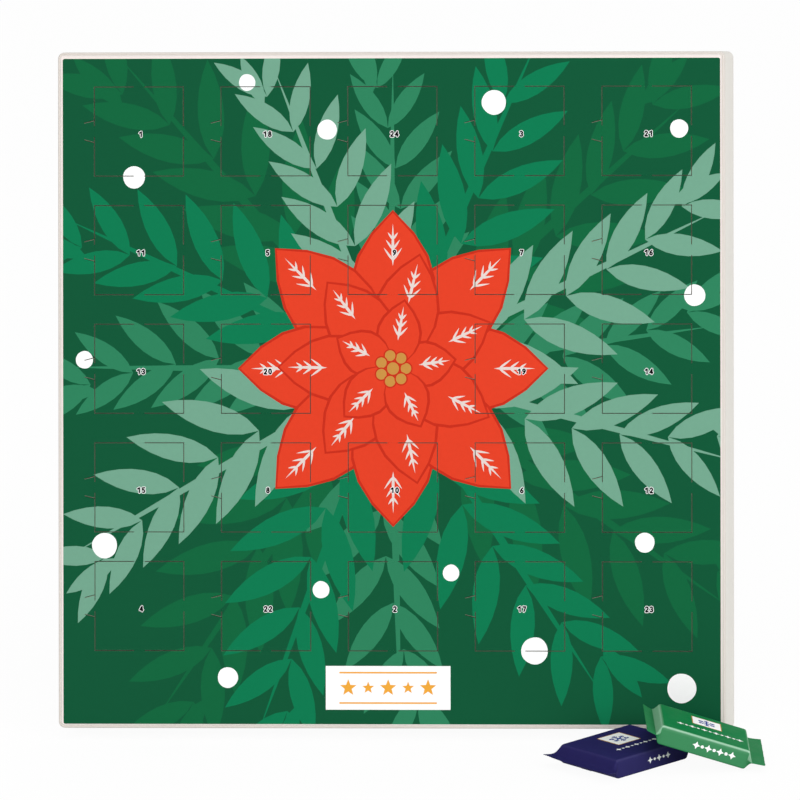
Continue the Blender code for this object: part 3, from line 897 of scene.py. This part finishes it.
def wrap_section(wrap, x, end, steps):
    """Closed loop of points in the plane across the wrap at x.

    The slope runs from 0 at the ridge to 1 at the fin's root, and u from 0 there to 1 at the fin's tip.
    """
    across, corner, sides = steps
    top, foot = wrap.up - TOP_INSET, -wrap.up + FOOT_INSET
    reach = abs(x)
    dip = clamp((reach - (end.ridge - RIDGE_RADIUS)) / RIDGE_RADIUS) ** 2 * RIDGE_DIP
    slope = clamp((reach - end.ridge) / (end.root - end.ridge))
    flat = smooth(slope * 1.02) * 0.35 + slope * 0.65
    half_up = blend((top - foot) / 2 - dip, FIN_THICKNESS / 2, flat)
    middle = blend((top + foot) / 2, 0, flat)
    inner = blend(wrap.side - SIDE_INSET, end.root_half, slope ** 2.2)
    outer = blend(wrap.side, end.root_half, slope ** 0.9)
    u = clamp((reach - end.root) / (end.tip - end.root))
    if reach > end.root:
        inner = outer = blend(end.root_half, end.tip_half, u)
    radius = min(RIDGE_RADIUS, half_up * 0.95)
    half_flat, half_wall = inner - radius, half_up - radius
    loop = []

    def bulged(y, z):
        return copysign(abs(y) + (outer - inner) * (1 - clamp(abs(z) / half_up)), y)

    def arc(sign_y, sign_z, first, last):
        for i in range(corner + 1):
            angle = blend(first, last, i / corner)
            y, z = sign_y * (half_flat + radius * cos(angle)), sign_z * (half_wall + radius * sin(angle))
            loop.append((bulged(y, z), z))

    # the top and one side, then the underside and the other side
    quarter = pi / 2
    for sign in (1, -1):
        for i in range(1, across):
            loop.append((blend(-sign * half_flat, sign * half_flat, i / across), sign * half_up))
        arc(sign, sign, quarter, 0)
        for i in range(1, sides):
            z = blend(sign * half_wall, -sign * half_wall, i / sides)
            loop.append((bulged(sign * inner, z), z))
        arc(sign, -sign, 0, quarter)

    in_fin = smooth((reach - end.root) / RIB_FADE)
    on_shoulder = sin(pi * slope) if 0 < slope < 1 else 0.0
    zag = ZIGZAG * u if u > 0.99 else 0.0
    ring = []
    for y, z in loop:
        lift = middle
        if abs(y) < inner - PUCKER_MARGIN:
            long_wave, short_wave = y / PUCKER_LENGTHS[0] + wrap.seed, y / PUCKER_LENGTHS[1] + 2.3 * wrap.seed
            pucker = sin(long_wave) + 0.7 * sin(short_wave)
            lift += copysign(PUCKER_HEIGHT, z) * pucker * on_shoulder
        lift += RIB_HEIGHT * sin(2 * pi * y / RIB_PITCH) * in_fin
        lift += end.rise * u ** 1.2
        lift += end.curl * u * smooth((y - 0.35 * inner) / (0.65 * inner))
        crown = CROWN * cos(pi / 2 * clamp(abs(y) / wrap.side)) * (1 - slope) if z > 0 else 0
        notch = abs((y / RIB_PITCH * 2) % 2 - 1)
        ring.append((x - copysign(zag * notch, x), y, z + lift + crown))
    return ring


def near(value, centre, width):
    """1 at the centre, falling evenly to 0 at width from it."""
    return max(0.0, 1 - abs(value - centre) / width)


def crease_of(wrap, end, x, y, z):
    """How much painted highlight lightens the film: most along the ridges, little on the sides, shoulders and
    fins.
    """
    ridge, side, shoulder, fin = wrap.pale
    reach = abs(x)
    long_ridge = near(abs(y), wrap.side - 0.45 * MM, 0.85 * MM)
    long_ridge *= (
        smooth((z - (wrap.up - 1.7 * MM)) / (0.9 * MM)) * smooth((end.ridge + 0.6 * MM - reach) / MM)
    )
    cross_ridge = near(reach, end.ridge, 0.8 * MM) * smooth((z - (wrap.up - 1.9 * MM)) / (0.8 * MM))
    share = ridge * (0.9 * long_ridge + 0.35 * cross_ridge)
    share += shoulder if end.ridge < reach < end.root and z > 0 else 0.0
    on_side = smooth((abs(y) - (wrap.side - 0.6 * MM)) / (0.4 * MM))
    share += side * on_side * smooth((end.root - reach) / (end.root - end.ridge))
    share += fin if reach >= end.root else 0.0
    return min(share, 1.0)


def wrap_mesh(name, wrap, ends, steps, look, cavity=None):
    """The film, lofted along the wrap: solid, or a shell round a cavity of the given half sizes."""
    left, right = ends
    start, stop = RIDGE_RADIUS - left.ridge, right.ridge - RIDGE_RADIUS
    body = [blend(start, stop, i / BODY_STEPS) for i in range(BODY_STEPS + 1)]
    places = [-x for x in reversed(wrap_stations(left))] + body + wrap_stations(right)
    bm = bmesh.new()
    # the crease attribute carries each point's share of painted highlight
    crease = bm.verts.layers.float.new("crease")
    rings = []
    for x in places:
        end = left if x < 0 else right
        ring = []
        for point in wrap_section(wrap, x, end, steps):
            vert = bm.verts.new(point)
            vert[crease] = crease_of(wrap, end, *point)
            ring.append(vert)
        rings.append(ring)
    loft(bm, rings)
    if cavity is not None:
        corners = bmesh.ops.create_cube(bm, size=1)["verts"]
        for vert in corners:
            vert.co = Vector([c * 2 * half for c, half in zip(vert.co, cavity)])
        walls = {face for vert in corners for face in vert.link_faces}
        bmesh.ops.reverse_faces(bm, faces=list(walls))
    for face in bm.faces:
        face.smooth = True
    return mesh_of(bm, name, [look], soft=True)


def snowflake(centre, radius):
    """A plain six-armed snowflake of bars with small side branches."""
    shapes = []
    half = radius * 0.085
    middle = Vector(centre)
    for i in range(6):
        angle = radians(60 * i + 30)
        along = Vector((cos(angle), sin(angle)))
        side = Vector((-along.y, along.x))
        tip, edge = middle + along * radius, side * half
        shapes.append([tuple(p) for p in (middle - edge, tip - edge, tip + edge, middle + edge)])
        for share, reach in ((0.52, 0.36), (0.78, 0.24)):
            for sign in (-1, 1):
                foot = middle + along * radius * share
                out = (along + side * sign * 1.4).normalized()
                wide = Vector((-out.y, out.x)) * half * 0.85
                end = foot + out * radius * reach
                shapes.append([tuple(p) for p in (foot - wide, end - wide, end + wide, foot + wide)])
    return shapes


def label_mesh(name, centre, size, height):
    """A blank-edged paper label with a gold border and a plain snowflake. Its centre and size are in mm."""
    middle = Vector([c * MM for c in centre])
    size = [c * MM for c in size]
    half = Vector(size) / 2
    border = Vector((LABEL_BORDER, LABEL_BORDER))
    shapes = [
        (rounded_rectangle(middle - half, middle + half, 0.3 * MM, 2), "gold"),
        (rounded_rectangle(middle - half + border, middle + half - border, 0.2 * MM, 2), "white"),
    ]
    shapes += [(shape, "blue") for shape in snowflake(middle, min(size) * 0.34)]
    return raised_sheet(name, shapes, height - LABEL_ROOT, height + LABEL_LIFT)


def star_row_mesh(name, count, pitch, radius):
    """A printed row of small white stars and dots along X. Its pitch and the stars' radius are in mm."""
    pitch, radius = pitch * MM, radius * MM
    shapes = []
    for i in range(count):
        at = ((i - (count - 1) / 2) * pitch, 0)
        shapes.append((star(at, radius, 4, 0.45) if i % 2 == 0 else circle(at, radius * 0.42, 12), "white"))
    return raised_sheet(name, shapes, -STARS_ROOT, LABEL_LIFT)


def seam_mesh(name, wrap, look):
    """The long seam of the film, folded flat on its underside."""
    bm = bmesh.new()
    low, high = -wrap.up + 0.02 * MM, -wrap.up + 0.22 * MM
    steps = 24
    rings = []
    for i in range(steps + 1):
        x = blend(-SEAM_HALF_LENGTH, SEAM_HALF_LENGTH, i / steps)
        sway = 0.18 * MM * sin(i * 1.7 + wrap.seed)
        near_y, far_y = -0.6 * MM + sway, 7.4 * MM + sway * 0.6
        section = [(near_y, high), (near_y, low + 0.08 * MM), (near_y + 0.3 * MM, low)]
        section += [(far_y, low + 0.05 * MM), (far_y, high)]
        rings.append([bm.verts.new((x, y, z)) for y, z in section])
    loft(bm, rings)
    return mesh_of(bm, name, [look])


def wrap_loose_chocolates():
    """Film, seam, label and two rows of stars for each loose chocolate."""
    green_turn = Matrix.Rotation(GREEN_TURN, 3, "Z")
    green_turn @= Matrix.Rotation(GREEN_TILT, 3, "Y") @ Matrix.Rotation(GREEN_ROLL, 3, "X")
    # lengths are in mm; film: seed and shares of painted highlight; stars: pitch and radius; rows: count and
    # place
    looks = {
        "navy": {
            "turn": Matrix.Rotation(NAVY_TURN, 3, "Z"),
            "film": (0.7, (0.35, 0.1, 0.0, 0.0)),
            "ends": (
                End(22.5, 26.6, 31.6, 25.0, 25.2, 0.2, curl=0.8),
                End(22.6, 25.1, 30.1, 21.5, 21.5, -0.4),
            ),
            "label": ((2.1, 5.9), (14.7, 17.0)),
            "stars": (2.9, 1.7),
            "top_row": (9, 1.5, -8.4),
            "front_row": (5, 4.5),
        },
        "green": {
            "turn": green_turn,
            "film": (2.1, (1.0, 0.11, 0.45, 0.05)),
            "ends": (
                End(22.7, 25.2, 30.2, 25.2, 25.7, 1.1),
                End(22.7, 25.2, 31.9, 25.2, 25.7, 0.9),
            ),
            "label": ((1.3, 7.9), (15.4, 14.2)),
            "stars": (3.1, 2.0),
            "top_row": (11, 2.5, -6.8),
            "front_row": (7, 5.5),
        },
    }
    here = Matrix.Identity(4)
    for colour, look in looks.items():
        wrap = Wrap(f"loose_wrapper_{colour}", look["turn"], *look["film"])
        bar = Wrap(f"loose_bar_{colour}", look["turn"])
        cavity = [half + CAVITY_GAP for half in (bar.tip, bar.side, bar.up)]
        film = f"{colour}_film"
        top = wrap.print_height()
        top_count, top_x, top_y = look["top_row"]
        front_count, front_x = look["front_row"]
        on_top = Matrix.Translation((top_x * MM, top_y * MM, top))
        on_front = Matrix.Translation((front_x * MM, -wrap.side, 0)) @ Matrix.Rotation(pi / 2, 4, "X")
        pieces = (
            (wrap_mesh(f"film_{colour}", wrap, look["ends"], LOOSE_STEPS, film, cavity), here),
            (label_mesh(f"label_{colour}", *look["label"], top), here),
            (seam_mesh(f"seam_{colour}", wrap, film), here),
            (star_row_mesh(f"stars_top_{colour}", top_count, *look["stars"]), on_top),
            (star_row_mesh(f"stars_front_{colour}", front_count, *look["stars"]), on_front),
        )
        for mesh, local in pieces:
            mesh.transform(wrap.matrix @ local)
            placed = place(mesh, f"loose_{colour}", here)
            if mesh.name == f"film_{colour}":
                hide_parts(f"loose_wrapper_{colour}")


def wrap_boxed_chocolates():
    """The same wrap in each pocket, its fins bent up between the pocket's ends."""
    turn = PLANE.to_3x3()
    ends = [End(22.6, 25.1, 29.9, 22.0, 22.1, rise) for rise in (2.7, 3.0)]
    sample = Wrap("chocolate_01", turn)
    meshes = {}
    for colour in BOXED_FILMS:
        sample.seed = 0.9 * len(meshes)
        meshes[colour] = wrap_mesh(f"film_boxed_{colour}", sample, ends, BOXED_STEPS, f"{colour}_film")
    top = sample.print_height()
    label = label_mesh("label_boxed", (1.5, 6.5), (15.5, 15.5), top)
    stars = star_row_mesh("stars_boxed", 11, 3.1, 1.9)
    stars.transform(Matrix.Translation((1.5 * MM, -8.5 * MM, top)))
    for number in range(1, len(DOOR_NODES) + 1):
        node = f"chocolate_{number:02d}"
        matrix = Wrap(node, turn).matrix
        film = meshes[BOXED_FILMS[(number * 2) % len(BOXED_FILMS)]]
        piece = place(film, "case", matrix, f"film_{node}")
        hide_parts(node)
        place(label, "case", matrix, f"label_{node}")
        place(stars, "case", matrix, f"stars_{node}")


# case and easel


def inset_loop(bm, low, high, inset, height, radius):
    """Vertices round a rounded rectangle that lies inside the corners low and high by inset."""
    low, high = (low[0] + inset, low[1] + inset), (high[0] - inset, high[1] - inset)
    return [bm.verts.new((x, y, height)) for x, y in rounded_rectangle(low, high, radius, CORNER_STEPS)]


def swept_mesh(name, section, looks, capped):
    """A section run round the case's outline: a closed ring, or a body capped at both ends."""
    bm = bmesh.new()
    low, high = (-CASE_WIDTH / 2, 0), (CASE_WIDTH / 2, CASE_HEIGHT)
    loops = []
    for inset, height, _ in section:
        radius = max(CORNER_RADIUS - inset * MM, INNER_RADIUS)
        loops.append(inset_loop(bm, low, high, inset * MM, height * MM, radius))
    for band, (_, _, look) in zip(loft(bm, loops, capped), section):
        for face in band:
            face.material_index = look
            face.smooth = True
    return mesh_of(bm, name, looks, soft=True)


def plate_mesh(name, low, high, corner, base, levels, look):
    """A thin plate with rounded corners, its outlines given by levels over the height base."""
    bm = bmesh.new()
    loft(bm, [inset_loop(bm, low, high, inset * MM, base + height * MM, corner) for inset, height in levels])
    return mesh_of(bm, name, [look])


def make_case():
    """The rim and the tray with their rounded lips, and the liner glued on the tray's back."""
    mesh = swept_mesh("rim", RIM_SECTION, ("rim_board", "rim_groove", "rim_inner"), False)
    rim = place(mesh, "case")
    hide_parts("front_frame")
    tray = place(swept_mesh("tray", TRAY_SECTION, ("case_board",), True), "case")
    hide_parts("case_tray")
    low = (BACK_LINER_INSET - CASE_WIDTH / 2, BACK_LINER_INSET)
    high = (CASE_WIDTH / 2 - BACK_LINER_INSET, CASE_HEIGHT - BACK_LINER_INSET)
    back = node_extent("case_tray")[0].z
    mesh = plate_mesh("back_liner", low, high, BACK_LINER_CORNER, back, BACK_LINER_LEVELS, "back_board")
    place(mesh, "case")


def tape_easel():
    """Paper tape at the easel's fold: on the patch, and on the fin's face that folds against it."""
    patch_low, _ = node_extent("easel_patch")
    _, fin_high = node_extent("easel_fin")
    fold = in_plane(joint("easel_hinge")["pos_m"])
    foot, head = fold.y + TAPE_FOOT_GAP, fin_high.y - TAPE_HEAD_GAP
    low, high = (fold.x + TAPE_FOLD_GAP, foot), (fold.x + TAPE_WIDTH, head)
    mesh = plate_mesh("tape_patch", low, high, TAPE_CORNER, patch_low.z, TAPE_LEVELS, "fold_tape")
    place(mesh, "case")
    low, high = (TAPE_FIN_FOLD_GAP, foot), (TAPE_WIDTH - TAPE_FIN_NARROWER, head)
    mesh = plate_mesh("tape_fin", low, high, TAPE_CORNER, 0, TAPE_LEVELS, "fold_tape")
    mesh.transform(Matrix.Translation((fin_high.x, 0, fold.z)) @ Matrix.Rotation(pi / 2, 4, "Y"))
    place(mesh, "easel_fin")


# CAD nodes that no piece replaces


def finish_nodes():
    for look, nodes in (
        ("card_core", ("front_card", *DOOR_NODES)),
        ("fibre", ("pocket_insert",)),
        ("easel_board", ("easel_patch", "easel_fin")),
        ("milk_chocolate", ("loose_bar_navy", "loose_bar_green")),
    ):
        for node in nodes:
            materials = frame["nodes"][node].data.materials
            materials.clear()
            materials.append(MATERIALS[look])


# floor, light and camera


def is_seen(tree):
    """1 where the camera, a reflection or a view through film looks at it, else 0."""
    seen = 0
    for kind in ("Camera", "Glossy", "Transmission"):
        ray = add_node(tree, "LightPath", f"Is {kind} Ray")
        seen = add_node(tree, "Math", "Value", {0: seen, 1: ray}, operation="MAXIMUM")
    return seen


def show_white(tree, share, lit, white, output):
    """Gives the output what the light makes of it, mixed by share with white."""
    mixed = add_node(tree, "MixShader", "Shader", {"Fac": share, 1: lit, 2: white})
    tree.links.new(mixed, tree.nodes[output].inputs["Surface"])


def make_floor():
    """White paper that shows as white and keeps a soft part of the shadows on it."""
    bm = bmesh.new()
    bmesh.ops.create_grid(bm, x_segments=1, y_segments=1, size=FLOOR_HALF)
    floor = add_object("floor", mesh_of(bm, "floor"))
    floor.location = (0, 0, cad_low.z - FLOOR_GAP)
    shader = Shader("floor_paper", (250, 250, 250), 0.9, specular=0.0)
    lit, white = shader.bsdf.outputs["BSDF"], shader.add("Emission", "Emission")
    shares = {0: is_seen(shader.tree), 1: FLOOR_WHITE_SHARE}
    share = shader.add("Math", "Value", shares, operation="MULTIPLY")
    show_white(shader.tree, share, lit, white, "Material Output")
    floor.data.materials.append(shader.material)


def make_world():
    """Even light from all round, and a background that shows as white."""
    world = bpy.data.worlds.new("studio")
    bpy.context.scene.world = world
    world.use_nodes = True
    tree = world.node_tree
    tree.nodes.remove(tree.nodes["Background"])
    lit, white = (
        add_node(tree, "Background", "Background", {"Color": (1, 1, 1, 1), "Strength": strength})
        for strength in (WORLD_LIGHT, 1)
    )
    show_white(tree, is_seen(tree), lit, white, "World Output")


def make_lamps():
    for name, location, target, size, power in LAMPS:
        lamp = bpy.data.lights.new(name, "AREA")
        lamp.shape = "SQUARE"
        lamp.size = size
        lamp.energy = power
        made = add_object(name, lamp)
        made.location = location
        made.rotation_euler = (Vector(target) - Vector(location)).to_track_quat("-Z", "Y").to_euler()


def make_camera():
    """A long lens that sees the leaning front from slightly right, rolled so that the case stands upright."""
    right = Vector((cos(AZIMUTH), sin(AZIMUTH), 0))
    back = Vector((sin(AZIMUTH) * cos(ELEVATION), -cos(AZIMUTH) * cos(ELEVATION), sin(ELEVATION)))
    right = Matrix.Rotation(-atan(tan(AZIMUTH) * sin(ELEVATION)), 3, back) @ right
    up = back.cross(right)
    scale = MM_PER_PIXEL * MM
    corner = PLANE @ Vector((-CASE_WIDTH / 2, 0, 0))
    middle = IMAGE_SIZE / 2
    across = (middle - CASE_CORNER_PIXEL[0]) * scale
    above = (CASE_CORNER_PIXEL[1] - middle) * scale
    target = corner + right * across + up * above
    camera = bpy.data.cameras.new("camera")
    camera.sensor_width = SENSOR_WIDTH
    camera.lens = SENSOR_WIDTH * CAMERA_DISTANCE / (IMAGE_SIZE * scale)
    camera.clip_end = CAMERA_CLIP_END
    made = add_object("camera", camera)
    turn = Matrix((right, up, back)).transposed().to_4x4()
    made.matrix_world = Matrix.Translation(target + back * CAMERA_DISTANCE) @ turn
    bpy.context.scene.camera = made


bpy.context.scene.view_settings.view_transform = "Standard"
finish_nodes()
arrange_print()
add_numbers()
wrap_loose_chocolates()
wrap_boxed_chocolates()
make_case()
tape_easel()
make_floor()
make_world()
make_lamps()
make_camera()
